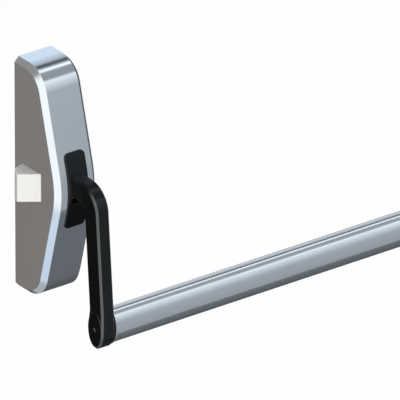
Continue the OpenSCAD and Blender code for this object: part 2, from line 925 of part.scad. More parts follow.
// Bell crank: a long slotted arm that draws the latch bolt in, and a short arm that the finger pushes
module rocker() {
    color(STEEL)
        translate([rocker_x, -rocker_d, rocker_z])
            rotate([0, 0, rocker_half])
                difference() {
                    union() {
                        cylinder(h = rocker_t, r = rocker_pin_r + rocker_rim, $fn = round_fn);
                        // Long arm, from the pivot back to the drive pin
                        translate([-long_w / 2, 0, 0])
                            cube([long_w, slot_near, rocker_t]);
                        linear_extrude(height = rocker_t)
                            slot_shape(slot_r + rocker_rim);
                        // Short arm, from the pivot to the pad in front of the finger
                        translate([0, -short_w / 2, 0])
                            cube([short_arm, short_w, rocker_t]);
                        translate([short_arm, 0, 0])
                            cylinder(h = rocker_t, r = pad_r, $fn = round_fn);
                    }
                    translate([0, 0, -cut])
                        cylinder(h = rocker_t + 2 * cut, r = rocker_pin_r + run_fit, $fn = round_fn);
                    translate([0, 0, -cut])
                        linear_extrude(height = rocker_t + 2 * cut)
                            slot_shape(slot_r);
                }
}

// Headed pin that hangs the rocker under the shelf
module rocker_pin() {
    color(STEEL) {
        rod_z(rocker_x, rocker_d, rocker_z - 0.2, cheek_top - rocker_z + 0.2, rocker_pin_r);
        rod_z(rocker_x, rocker_d, rocker_z - 1.4, 1.25, rocker_pin_r + 1.2);
    }
}

latch_case_cover();
latch_case_chassis();
latch_face_plate();
latch_cover_screws();
latch_bolt();
latch_drive_pin();
latch_guide();
latch_spring();
latch_spring_rod();
rocker();
rocker_pin();
latch_arm();
latch_arm_axle();
latch_arm_bushes();
latch_axle_spacers();
latch_return_spring();
latch_stop_buffer();
latch_bar_plug();
latch_bar_screw();
push_bar();
hinge_case_cover();
hinge_case_chassis();
hinge_face_plate();
hinge_cover_screws();
hinge_arm();
hinge_arm_axle();
hinge_arm_bushes();
hinge_axle_spacers();
hinge_return_spring();
hinge_stop_buffer();
hinge_bar_plug();
hinge_bar_screw();
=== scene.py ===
"""Looks of a cross-bar panic device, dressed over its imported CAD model.

The device has two tall wall-mounted cases, two black cranked arms and an oval bar between them.
Each sub-assembly is a class that dresses its CAD nodes or builds finer pieces in their place.
"""

import json
import logging
import math
from dataclasses import dataclass
from enum import Enum

import bmesh
import bpy
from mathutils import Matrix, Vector

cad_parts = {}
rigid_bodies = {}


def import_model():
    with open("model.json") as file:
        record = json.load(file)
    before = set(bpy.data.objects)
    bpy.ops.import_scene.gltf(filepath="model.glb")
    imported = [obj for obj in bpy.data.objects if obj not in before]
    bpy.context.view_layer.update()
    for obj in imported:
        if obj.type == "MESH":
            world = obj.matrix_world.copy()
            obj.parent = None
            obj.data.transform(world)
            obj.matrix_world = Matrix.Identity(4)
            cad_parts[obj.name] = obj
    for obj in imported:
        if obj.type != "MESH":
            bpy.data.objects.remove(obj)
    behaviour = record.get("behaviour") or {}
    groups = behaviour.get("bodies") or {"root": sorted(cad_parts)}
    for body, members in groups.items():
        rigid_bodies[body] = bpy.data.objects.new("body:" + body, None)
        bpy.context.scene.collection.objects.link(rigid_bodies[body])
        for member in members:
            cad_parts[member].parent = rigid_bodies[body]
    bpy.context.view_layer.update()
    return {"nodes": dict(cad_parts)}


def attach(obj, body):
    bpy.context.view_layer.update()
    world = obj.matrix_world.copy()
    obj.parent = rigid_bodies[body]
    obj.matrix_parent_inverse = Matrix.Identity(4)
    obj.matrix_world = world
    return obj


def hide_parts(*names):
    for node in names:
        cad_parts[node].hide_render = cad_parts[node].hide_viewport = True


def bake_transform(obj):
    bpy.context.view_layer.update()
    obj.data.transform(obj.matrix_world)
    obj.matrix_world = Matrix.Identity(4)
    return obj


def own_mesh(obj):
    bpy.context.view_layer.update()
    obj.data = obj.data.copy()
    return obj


LOG = logging.getLogger("panic_bar")

Triple = tuple[float, float, float]
Colour = Triple
Span = tuple[float, float]
Stops = tuple[Span, ...]

WHITE: Colour = (1.0, 1.0, 1.0)
# Spans of the normal's share along an axis over which one value passes into the next
TO_BEVEL: Span = (0.35, 0.6)
TO_SIDE: Span = (0.85, 0.97)
OFF_FRONT: Span = (0.3, 0.6)
FROM_UNDER: Span = (-0.12, 0.0)
# Span of the upward normal's share over which the bar's top turns to its painted shade, a darker tone that stands in
# for the reflection of a dark card
TO_PAINTED_TOP_SHADE: Span = (0.90, 0.985)
# Cosines of the angle between true and softened normal at a full edge and at none
EDGE_COSINES: Span = (0.90, 0.995)
# Spans of noise over which rubbed places begin to show
WORN: Span = (0.35, 0.65)
FLAKES: Span = (0.45, 0.75)


class Body(Enum):
    """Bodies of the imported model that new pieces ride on."""

    CASES = "cases"
    BAR = "bar"
    BOLT = "bolt"


class Side(Enum):
    """The two ends of the device, with the X of the case's middle and the way its inner parts face."""

    LATCH = ("latch", 0.0, 1.0)
    HINGE = ("hinge", 0.84, -1.0)

    @property
    def prefix(self) -> str:
        """First word of the names of this side's nodes."""
        return self.value[0]

    def x(self, from_middle: float) -> float:
        """Row X of a point given by its distance from the case's middle.

        Args:
            from_middle: Distance in metres, positive towards the bar's middle.

        Returns:
            The X coordinate in metres.
        """
        return self.value[1] + self.value[2] * from_middle


# ---------------------------------------------------------------- finishes


class Shader:
    """A new node material with short calls for its nodes."""

    def __init__(self, name: str) -> None:
        """Starts an empty Principled material.

        Args:
            name: Name of the material.
        """
        self.material = bpy.data.materials.new(name)
        self.material.use_nodes = True
        self.tree = self.material.node_tree
        self.tree.nodes.clear()
        self.output = self.node("ShaderNodeOutputMaterial")
        self.surface = self.node("ShaderNodeBsdfPrincipled")
        self.link(self.surface.outputs[0], self.output.inputs[0])
        self.place = self.node("ShaderNodeTexCoord").outputs["Object"]

    def node(self, kind: str, **settings: object) -> bpy.types.Node:
        """Adds a node.

        Args:
            kind: Blender's name of the node type.
            **settings: Attributes set on the node.

        Returns:
            The node.
        """
        made = self.tree.nodes.new(kind)
        for key, value in settings.items():
            setattr(made, key, value)
        return made

    def link(self, source: bpy.types.NodeSocket, target: bpy.types.NodeSocket) -> None:
        """Joins two sockets."""
        self.tree.links.new(source, target)

    def stretched(self, scale: Triple) -> bpy.types.NodeSocket:
        """Object coordinates with a scale for each axis.

        Args:
            scale: Scale along X, Y and Z.

        Returns:
            The scaled coordinates.
        """
        mapping = self.node("ShaderNodeMapping")
        mapping.inputs["Scale"].default_value = scale
        self.link(self.place, mapping.inputs["Vector"])
        return mapping.outputs[0]

    def noise(self, where: bpy.types.NodeSocket, scale: float, detail: float = 3.0) -> bpy.types.NodeSocket:
        """Noise from 0 to 1.

        Args:
            where: Coordinates that it is read at.
            scale: Blobs per metre.
            detail: Octaves of finer noise.

        Returns:
            The noise value.
        """
        made = self.node("ShaderNodeTexNoise")
        made.inputs["Scale"].default_value = scale
        made.inputs["Detail"].default_value = detail
        self.link(where, made.inputs["Vector"])
        return made.outputs["Fac"]

    def between(self, value: bpy.types.NodeSocket, low: float, high: float,
                start: float = 0.3, end: float = 0.7) -> bpy.types.NodeSocket:
        """Value moved from one range to another, held inside it.

        Args:
            value: Socket that is read.
            low: Result at start.
            high: Result at end.
            start: Value that gives low.
            end: Value that gives high.

        Returns:
            The new value.
        """
        made = self.node("ShaderNodeMapRange")
        for socket, number in zip(("From Min", "From Max", "To Min", "To Max"), (start, end, low, high)):
            made.inputs[socket].default_value = number
        self.link(value, made.inputs["Value"])
        return made.outputs[0]

    def blended(self, share: bpy.types.NodeSocket, first: Colour | bpy.types.NodeSocket,
                second: Colour) -> bpy.types.NodeSocket:
        """Mix of two colours.

        Args:
            share: How much of the second colour shows.
            first: Colour or socket at share 0.
            second: Colour at share 1.

        Returns:
            The mixed colour.
        """
        made = self.node("ShaderNodeMix", data_type="RGBA")
        self.link(share, made.inputs["Factor"])
        if isinstance(first, tuple):
            made.inputs["A"].default_value = (*first, 1.0)
        else:
            self.link(first, made.inputs["A"])
        made.inputs["B"].default_value = (*second, 1.0)
        return made.outputs["Result"]

    def times(self, first: bpy.types.NodeSocket, second: bpy.types.NodeSocket) -> bpy.types.NodeSocket:
        """Product of two values.

        Args:
            first: One value.
            second: The other value.

        Returns:
            The product.
        """
        made = self.node("ShaderNodeMath", operation="MULTIPLY")
        self.link(first, made.inputs[0])
        self.link(second, made.inputs[1])
        return made.outputs[0]

    def edges(self, radius: float) -> tuple[bpy.types.NodeSocket, bpy.types.NodeSocket]:
        """Softened normal over sharp edges, and a mask of where those edges are.

        Args:
            radius: Width of the softening in metres.

        Returns:
            The softened normal and the edge mask from 0 to 1.
        """
        soft = self.node("ShaderNodeBevel", samples=4)
        soft.inputs["Radius"].default_value = radius
        true = self.node("ShaderNodeNewGeometry")
        dot = self.node("ShaderNodeVectorMath", operation="DOT_PRODUCT")
        self.link(soft.outputs[0], dot.inputs[0])
        self.link(true.outputs["Normal"], dot.inputs[1])
        return soft.outputs[0], self.between(dot.outputs["Value"], 1.0, 0.0, *EDGE_COSINES)

    def facing(self, axis: str, one_way: bool = False) -> bpy.types.NodeSocket:
        """How much the surface faces along one of the object's axes.

        Args:
            axis: X, Y or Z.
            one_way: Whether facing backwards along the axis counts as negative.

        Returns:
            A value from 0 to 1, or from -1 to 1 one way.
        """
        parts = self.node("ShaderNodeSeparateXYZ")
        self.link(self.node("ShaderNodeTexCoord").outputs["Normal"], parts.inputs[0])
        if one_way:
            return parts.outputs[axis]
        size = self.node("ShaderNodeMath", operation="ABSOLUTE")
        self.link(parts.outputs[axis], size.inputs[0])
        return size.outputs[0]

    def bumped(self, height: bpy.types.NodeSocket, depth: float, normal: bpy.types.NodeSocket) -> None:
        """Bump on the surface.

        Args:
            height: Height from 0 to 1.
            depth: Depth of the bump in metres.
            normal: Normal that it starts from.
        """
        made = self.node("ShaderNodeBump")
        made.inputs["Strength"].default_value = 1.0
        made.inputs["Distance"].default_value = depth
        self.link(height, made.inputs["Height"])
        self.link(normal, made.inputs["Normal"])
        self.link(made.outputs[0], self.surface.inputs["Normal"])

    def set(self, **values: float) -> None:
        """Numbers on the surface's own sockets, with _ for a space in a name."""
        for key, value in values.items():
            self.surface.inputs[key.replace("_", " ")].default_value = value


def backdrop_share(tree: bpy.types.NodeTree) -> bpy.types.NodeSocket:
    """Tells the rays that see the plain backdrop: those of the camera, of gloss and through glass.

    Args:
        tree: Node tree that it is part of.

    Returns:
        1 for such a ray and 0 for any other.
    """
    path = tree.nodes.new("ShaderNodeLightPath")
    share = path.outputs["Is Camera Ray"]
    for ray in ("Is Glossy Ray", "Is Transmission Ray"):
        either = tree.nodes.new("ShaderNodeMath")
        either.operation = "MAXIMUM"
        tree.links.new(share, either.inputs[0])
        tree.links.new(path.outputs[ray], either.inputs[1])
        share = either.outputs[0]
    return share


@dataclass(frozen=True)
class MetallicLacquer:
    """Satin silver lacquer with fine flakes, paler where its edges are rubbed."""

    name: str = "satin_silver_lacquer"
    colour: Colour = (0.62, 0.64, 0.66)
    shade: Colour = (0.57, 0.59, 0.61)
    rubbed: Colour = (0.78, 0.79, 0.80)
    metallic: float = 1.0
    roughness: float = 0.14
    edge: float = 0.0007
    cloud: float = 14.0
    flake: float = 2600.0
    flake_share: float = 0.22
    flake_depth: float = 0.00001
    wear: float = 90.0
    smear: float = 60.0

    def material(self) -> bpy.types.Material:
        """Builds the material.

        Returns:
            The material.
        """
        s = Shader(self.name)
        normal, edge = s.edges(self.edge)
        cloud = s.noise(s.place, self.cloud, 4.0)
        flake = s.noise(s.place, self.flake, 1.0)
        worn = s.times(edge, s.between(s.noise(s.place, self.wear), 0.25, 0.75, *WORN))
        base = s.blended(s.between(cloud, 0.0, 1.0), self.colour, self.shade)
        speckled = s.blended(s.between(flake, 0.0, self.flake_share, *FLAKES), base, self.rubbed)
        s.link(s.blended(worn, speckled, self.rubbed), s.surface.inputs["Base Color"])
        s.link(s.between(s.noise(s.place, self.smear), self.roughness - 0.03, self.roughness + 0.04),
               s.surface.inputs["Roughness"])
        s.set(Metallic=self.metallic)
        s.bumped(flake, self.flake_depth, normal)
        return s.material


@dataclass(frozen=True)
class BlackCoat:
    """Black coat, either fine powder coat on a casting or satin plastic, whose gloss may change with the way a surface
    faces to paint shade on sides, tops and undersides and a highlight on bevels.
    """

    name: str
    colour: Colour = (0.0018, 0.0022, 0.0025)
    rubbed: Colour = (0.012, 0.013, 0.014)
    roughness: float = 0.30
    grain: float = 1500.0
    depth: float = 0.00003
    edge: float = 0.0006
    # Specular levels by facing: lower values on sides, tops and undersides paint shade there, a higher value on bevels
    # paints a highlight
    front_gloss: float = 0.27
    bevel_gloss: float = 0.27
    side_gloss: float = 0.27
    top_gloss: float = 1.0
    top_bevel_gloss: float = 1.0
    under_gloss: float = 1.0
    index: float = 1.5
    cloud: float = 35.0
    wear: float = 160.0
    fading: float = 1.45

    def material(self) -> bpy.types.Material:
        """Builds the material.

        Returns:
            The material.
        """
        s = Shader(self.name)
        normal, edge = s.edges(self.edge)
        grain = s.noise(s.place, self.grain, 2.0)
        cloud = s.noise(s.place, self.cloud)
        faded = tuple(c * self.fading for c in self.colour)
        base = s.blended(s.between(cloud, 0.0, 1.0), self.colour, faded)
        worn = s.times(edge, s.between(s.noise(s.place, self.wear), 0.1, 0.9, *WORN))
        s.link(s.blended(worn, base, self.rubbed), s.surface.inputs["Base Color"])
        s.link(s.between(cloud, self.roughness - 0.05, self.roughness + 0.06), s.surface.inputs["Roughness"])
        s.set(IOR=self.index, Specular_IOR_Level=self.front_gloss)
        if not self.even:
            s.link(self.gloss(s), s.surface.inputs["Specular IOR Level"])
        s.bumped(grain, self.depth, normal)
        return s.material

    @property
    def even(self) -> bool:
        """Whether the gloss is the same all over, so that it stays a number on the shader's own socket."""
        return (self.front_gloss == self.bevel_gloss == self.side_gloss
                and self.top_gloss == self.top_bevel_gloss == self.under_gloss == 1.0)

    def gloss(self, s: Shader) -> bpy.types.NodeSocket:
        """Gloss by the way that the surface faces, which paints shade on sides, tops and undersides and a highlight on
        bevels.

        Args:
            s: Shader that it is part of.

        Returns:
            The specular level.
        """
        sideways = s.facing("X")
        gloss = s.times(s.between(sideways, self.front_gloss, self.bevel_gloss, *TO_BEVEL),
                        s.between(sideways, 1.0, self.side_gloss / self.bevel_gloss, *TO_SIDE))
        dimmed = s.times(s.between(sideways, 1.0 - self.top_gloss, 1.0 - self.top_bevel_gloss, *TO_BEVEL),
                         s.between(s.facing("Y"), 1.0, 0.0, *OFF_FRONT))
        under = s.between(s.facing("Z", one_way=True), self.under_gloss, 1.0, *FROM_UNDER)
        return s.times(s.times(gloss, under), s.between(dimmed, 1.0, 0.0, 0.0, 1.0))


@dataclass(frozen=True)
class BrushedMetal:
    """Bare or plated metal with fine lines along one axis, with an optional painted shade on its upward-facing top
    that stands in for a dark reflection.
    """

    name: str
    colour: Colour
    roughness: float = 0.3
    lines: Triple = (1.0, 1.0, 1.0)
    density: float = 900.0
    depth: float = 0.000004
    contrast: float = 0.25
    metallic: float = 1.0
    edge: float = 0.0004
    # Colour factor for painted shade on the upward-facing top, a darker tone that stands in for a reflection; white
    # for none
    crown: Colour = WHITE
    uneven: float = 0.12
    cloud: float = 25.0
    polish: float = 1.15

    def material(self) -> bpy.types.Material:
        """Builds the material.

        Returns:
            The material.
        """
        s = Shader(self.name)
        normal, edge = s.edges(self.edge)
        line = s.noise(s.stretched(self.lines), self.density, 2.0)
        cloud = s.noise(s.place, self.cloud)
        dull = tuple(c * (1.0 - self.contrast) for c in self.colour)
        bright = tuple(min(1.0, c * self.polish) for c in self.colour)
        base = s.blended(s.times(s.between(line, 0.0, 1.0), s.between(cloud, 0.5, 1.0)), self.colour, dull)
        # Painted shade: the upward-facing top is darkened to stand in for the reflection of a dark card
        if self.crown != WHITE:
            above = s.between(s.facing("Z", one_way=True), 0.0, 1.0, *TO_PAINTED_TOP_SHADE)
            base = s.blended(above, base, tuple(c * k for c, k in zip(self.colour, self.crown)))
        s.link(s.blended(s.times(edge, s.between(cloud, 0.3, 0.8)), base, bright), s.surface.inputs["Base Color"])
        smooth, rough = self.roughness - 0.4 * self.uneven, self.roughness + 0.6 * self.uneven
        s.link(s.between(line, smooth, rough), s.surface.inputs["Roughness"])
        s.set(Metallic=self.metallic)
        s.bumped(line, self.depth, normal)
        return s.material


@dataclass(frozen=True)
class Moulded:
    """Moulded nylon or rubber with a spark-eroded grain."""

    name: str
    colour: Colour
    roughness: float = 0.5
    grain: float = 2200.0
    depth: float = 0.00002
    subsurface: float = 0.0
    edge: float = 0.0003
    cloud: float = 70.0
    specular: float = 0.35

    def material(self) -> bpy.types.Material:
        """Builds the material.

        Returns:
            The material.
        """
        s = Shader(self.name)
        normal, edge = s.edges(self.edge)
        cloud = s.noise(s.place, self.cloud)
        grain = s.noise(s.place, self.grain, 2.0)
        dirty = tuple(c * 0.82 for c in self.colour)
        pale = tuple(min(1.0, c * 1.2 + 0.01) for c in self.colour)
        base = s.blended(s.between(cloud, 0.0, 1.0), self.colour, dirty)
        s.link(s.blended(s.times(edge, cloud), base, pale), s.surface.inputs["Base Color"])
        s.link(s.between(cloud, self.roughness - 0.05, self.roughness + 0.08), s.surface.inputs["Roughness"])
        s.set(Specular_IOR_Level=self.specular, Subsurface_Weight=self.subsurface)
        s.bumped(grain, self.depth, normal)
        return s.material


CASE_LACQUER = MetallicLacquer()
# Painted shade through gloss by facing on the plates' undersides and the arms' sides and tops, with a painted
# highlight on the arms' bevels
PLATE_BLACK = BlackCoat("satin_black_plate", roughness=0.26, grain=2400.0, depth=0.000012, under_gloss=0.25)
ARM_BLACK = BlackCoat("black_powder_coat", roughness=0.20, front_gloss=0.16, bevel_gloss=0.62,
                      side_gloss=0.14, top_gloss=0.5, top_bevel_gloss=0.14, index=1.7)
PLUG_BLACK = BlackCoat("black_nylon", roughness=0.5, grain=2000.0, depth=0.00002)
BOLT_STEEL = BrushedMetal("satin_nickel_bolt", (0.82, 0.80, 0.76), 0.30, (1.0, 1.0, 0.012), 700.0,
                          depth=0.0000002, contrast=0.025, metallic=0.35, uneven=0.02)
ZINC_STEEL = BrushedMetal("zinc_plated_steel", (0.58, 0.59, 0.60), 0.34, (1.0, 1.0, 0.3), 260.0, contrast=0.22)
SCREW_STEEL = BrushedMetal("plain_screw_steel", (0.42, 0.43, 0.44), 0.30, (0.2, 1.0, 1.0), 900.0, contrast=0.3)
SPRING_WIRE = BrushedMetal("drawn_spring_wire", (0.30, 0.31, 0.33), 0.32, density=1600.0, contrast=0.35)
BRONZE = BrushedMetal("sintered_bronze", (0.26, 0.19, 0.10), 0.48, density=2400.0, contrast=0.3)
# The bar has painted shade on its top, a darker tone that stands in for the reflection of a dark card
BAR_ALUMINIUM = BrushedMetal("satin_anodised_bar", (0.66, 0.68, 0.70), 0.16, (0.012, 1.0, 1.0), 1500.0,
                             depth=0.0000015, contrast=0.08, crown=(0.80, 0.71, 0.64))
NYLON = Moulded("natural_nylon", (0.72, 0.70, 0.62), 0.45, subsurface=0.1)
RUBBER = Moulded("black_rubber", (0.02, 0.02, 0.021), 0.65)
# Finishes that the lacquer beside them doesn't mirror, as in the photograph
UNREFLECTED = (PLATE_BLACK, ARM_BLACK, PLUG_BLACK, BOLT_STEEL, BAR_ALUMINIUM)


@dataclass(frozen=True)
class TentCloth:
    """Light of the tent by direction: bands round the bar's axis, a bright strip at the left front, dark corners."""

    name: str = "light_tent"
    # By degrees round the bar's axis, 0 in front and 90 above: dim floor, front cloth with its glow, gap,
    # lamp strip, dark card, roof cloth
    bands: Stops = (
        (-180.0, 0.30), (-90.0, 0.17), (-54.0, 0.22), (-52.0, 0.58), (-47.0, 0.50), (-3.0, 0.57), (8.0, 0.76),
        (30.0, 1.08), (43.0, 1.42), (48.5, 0.45), (78.0, 0.48), (82.5, 1.90), (87.5, 1.85), (91.5, 0.75), (99.0, 0.10),
        (107.0, 0.10), (115.0, 0.72), (149.0, 1.17), (180.0, 1.20))
    # By degrees of height: cloth at the left front, brightest at eye level
    strip: Stops = (
        (-90.0, 0.40), (-60.0, 0.74), (-41.0, 1.17), (-33.0, 1.49), (45.0, 1.49), (62.0, 1.25), (90.0, 0.7))
    # Colours of the bands, the cloth at the left front, the sky over them, the back low and high, the foot,
    # the roof, the seam between bands and cloth, and the low card at the back
    tint: Colour = (0.90, 0.99, 1.07)
    front: Colour = (0.965, 1.01, 1.018)
    sky: Colour = (0.86, 1.0, 1.18)
    warm: Colour = (0.318, 0.293, 0.277)
    high: Colour = (0.42, 0.43, 0.42)
    foot: Colour = (0.64, 0.67, 0.70)
    roof: Colour = (0.98, 1.10, 1.25)
    middle: Colour = (1.02, 1.01, 0.99)
    card: Colour = (0.12, 0.13, 0.14)
    # Degrees round the upright, from +X towards the front, over which one side passes into the next
    to_middle: Span = (88.0, 108.0)
    to_strip: Span = (129.0, 136.0)
    to_back: Span = (166.0, 180.0)
    from_back: Span = (-98.0, -84.0)
    card_start: Span = (-84.0, -70.0)
    card_end: Span = (-14.0, 0.0)
    # Degrees round the bar's axis over which the bands turn to the sky's colour, and degrees of height over
    # which the cloth turns from it
    to_sky: Span = (108.0, 128.0)
    from_sky: Span = (-43.0, -34.0)
    # Shares of the direction along Z or X over which the low and high parts begin
    back_rise: Span = (0.0, 0.3)
    card_top: Span = (-0.15, 0.05)
    foot_top: Span = (-0.90, -0.74)
    foot_right: Span = (-0.05, 0.12)
    to_roof: Span = (0.88, 0.97)

    def ramp(self, s: Shader, angle: bpy.types.NodeSocket, stops: Stops) -> bpy.types.NodeSocket:
        """Brightness by an angle, straight between stops.

        Args:
            s: Shader that it is part of.
            angle: Angle in degrees.
            stops: Angle and brightness of each stop, from the lowest angle to the highest.

        Returns:
            The brightness.
        """
        curve = s.node("ShaderNodeFloatCurve")
        low, high = stops[0][0], stops[-1][0]
        top = max(value for _, value in stops)
        points = curve.mapping.curves[0].points
        while len(points) < len(stops):
            points.new(0.5, 0.5)
        for point, (at, value) in zip(points, stops):
            point.location = ((at - low) / (high - low), value / top)
            point.handle_type = "VECTOR"
        curve.mapping.update()
        s.link(s.between(angle, 0.0, 1.0, low, high), curve.inputs["Value"])
        scaled = s.node("ShaderNodeMath", operation="MULTIPLY")
        s.link(curve.outputs[0], scaled.inputs[0])
        scaled.inputs[1].default_value = top
        return scaled.outputs[0]

    def degrees(self, s: Shader, rise: bpy.types.NodeSocket, run: bpy.types.NodeSocket) -> bpy.types.NodeSocket:
        """Angle in degrees of a slope.

        Args:
            s: Shader that it is part of.
            rise: Rise of the slope.
            run: Run of the slope.

        Returns:
            The angle from -180 to 180 degrees.
        """
        turn = s.node("ShaderNodeMath", operation="ARCTAN2")
        s.link(rise, turn.inputs[0])
        s.link(run, turn.inputs[1])
        degrees = s.node("ShaderNodeMath", operation="DEGREES")
        s.link(turn.outputs[0], degrees.inputs[0])
        return degrees.outputs[0]

    def plain(self, s: Shader, colour: Colour) -> bpy.types.NodeSocket:
        """One light all over.

        Args:
            s: Shader that it is part of.
            colour: Its colour and brightness.

        Returns:
            The light.
        """
        made = s.node("ShaderNodeCombineColor")
        for socket, value in zip(made.inputs, colour):
            socket.default_value = value
        return made.outputs[0]

    def grey(self, s: Shader, value: bpy.types.NodeSocket, bluer: bpy.types.NodeSocket,
             tint: Colour) -> bpy.types.NodeSocket:
        """The tint at a brightness, or the colour of the sky at it.

        Args:
            s: Shader that it is part of.
            value: The brightness.
            bluer: Share of the sky's colour.
            tint: The tint at share 0.

        Returns:
            The light.
        """
        scaled = s.node("ShaderNodeVectorMath", operation="SCALE")
        s.link(self.over(s, bluer, self.plain(s, tint), self.plain(s, self.sky)), scaled.inputs[0])
        s.link(value, scaled.inputs["Scale"])
        return scaled.outputs[0]

    def over(self, s: Shader, share: bpy.types.NodeSocket, first: bpy.types.NodeSocket,
             second: bpy.types.NodeSocket) -> bpy.types.NodeSocket:
        """One light laid over another.

        Args:
            s: Shader that it is part of.
            share: How much of the second light shows.
            first: Light at share 0.
            second: Light at share 1.

        Returns:
            The mixed light.
        """
        mix = s.node("ShaderNodeMix", data_type="RGBA", clamp_result=False)
        s.link(share, mix.inputs["Factor"])
        s.link(first, mix.inputs["A"])
        s.link(second, mix.inputs["B"])
        return mix.outputs["Result"]

    def material(self) -> bpy.types.Material:
        """Builds the material.

        Returns:
            The material.
        """
        s = Shader(self.name)
        way = s.node("ShaderNodeVectorMath", operation="NORMALIZE")
        s.link(s.place, way.inputs[0])
        axes = s.node("ShaderNodeSeparateXYZ")
        s.link(way.outputs[0], axes.inputs[0])
        out = s.node("ShaderNodeMath", operation="MULTIPLY")
        s.link(axes.outputs["Y"], out.inputs[0])
        out.inputs[1].default_value = -1.0
        height = s.node("ShaderNodeMath", operation="ARCSINE")
        s.link(axes.outputs["Z"], height.inputs[0])
        rise = s.node("ShaderNodeMath", operation="DEGREES")
        s.link(height.outputs[0], rise.inputs[0])
        angle = self.degrees(s, out.outputs[0], axes.outputs["X"])
        about = self.degrees(s, axes.outputs["Z"], out.outputs[0])
        up = axes.outputs["Z"]
        right = self.grey(s, self.ramp(s, about, self.bands), s.between(about, 0.0, 1.0, *self.to_sky), self.tint)
        strip = self.grey(s, self.ramp(s, rise.outputs[0], self.strip),
                          s.between(rise.outputs[0], 1.0, 0.0, *self.from_sky), self.front)
        back = self.over(s, s.between(up, 0.0, 1.0, *self.back_rise), self.plain(s, self.warm),
                         self.plain(s, self.high))
        card = s.times(s.between(up, 1.0, 0.0, *self.card_top),
                       s.times(s.between(angle, 1.0, 0.0, *self.card_end),
                               s.between(angle, 0.0, 1.0, *self.card_start)))
        foot = s.times(s.between(up, 1.0, 0.0, *self.foot_top),
                       s.between(axes.outputs["X"], 1.0, 0.0, *self.foot_right))
        light = right
        for share, part in ((s.between(angle, 0.0, 1.0, *self.to_middle), self.plain(s, self.middle)),
                            (s.between(angle, 0.0, 1.0, *self.to_strip), strip),
                            (s.between(angle, 0.0, 1.0, *self.to_back), back),
                            (s.between(angle, 1.0, 0.0, *self.from_back), back),
                            (card, self.plain(s, self.card)),
                            (foot, self.plain(s, self.foot)),
                            (s.between(up, 0.0, 1.0, *self.to_roof), self.plain(s, self.roof))):
            light = self.over(s, share, light, part)
        glow = s.node("ShaderNodeEmission")
        s.link(light, glow.inputs["Color"])
        s.link(glow.outputs[0], s.output.inputs["Surface"])
        return s.material


Finish = MetallicLacquer | BlackCoat | BrushedMetal | Moulded


class Paintbox:
    """Keeps one material for each finish."""

    def __init__(self) -> None:
        """Starts with no materials."""
        self.made: dict[str, bpy.types.Material] = {}

    def of(self, finish: Finish) -> bpy.types.Material:
        """Material of a finish, built at its first use.

        Args:
            finish: The finish.

        Returns:
            Its material.
        """
        if finish.name not in self.made:
            self.made[finish.name] = finish.material()
        return self.made[finish.name]


# ---------------------------------------------------------------- shared making

# Angles in degrees below which edges are shaded smooth
ROUNDED_SMOOTH = 32.0
SCREW_SMOOTH = 30.0
WIRE_SMOOTH = 40.0
TUBE_SMOOTH = 40.0
# Distance in metres under which the loose corners of a CAD mesh are one
SAME_PLACE = 0.000002


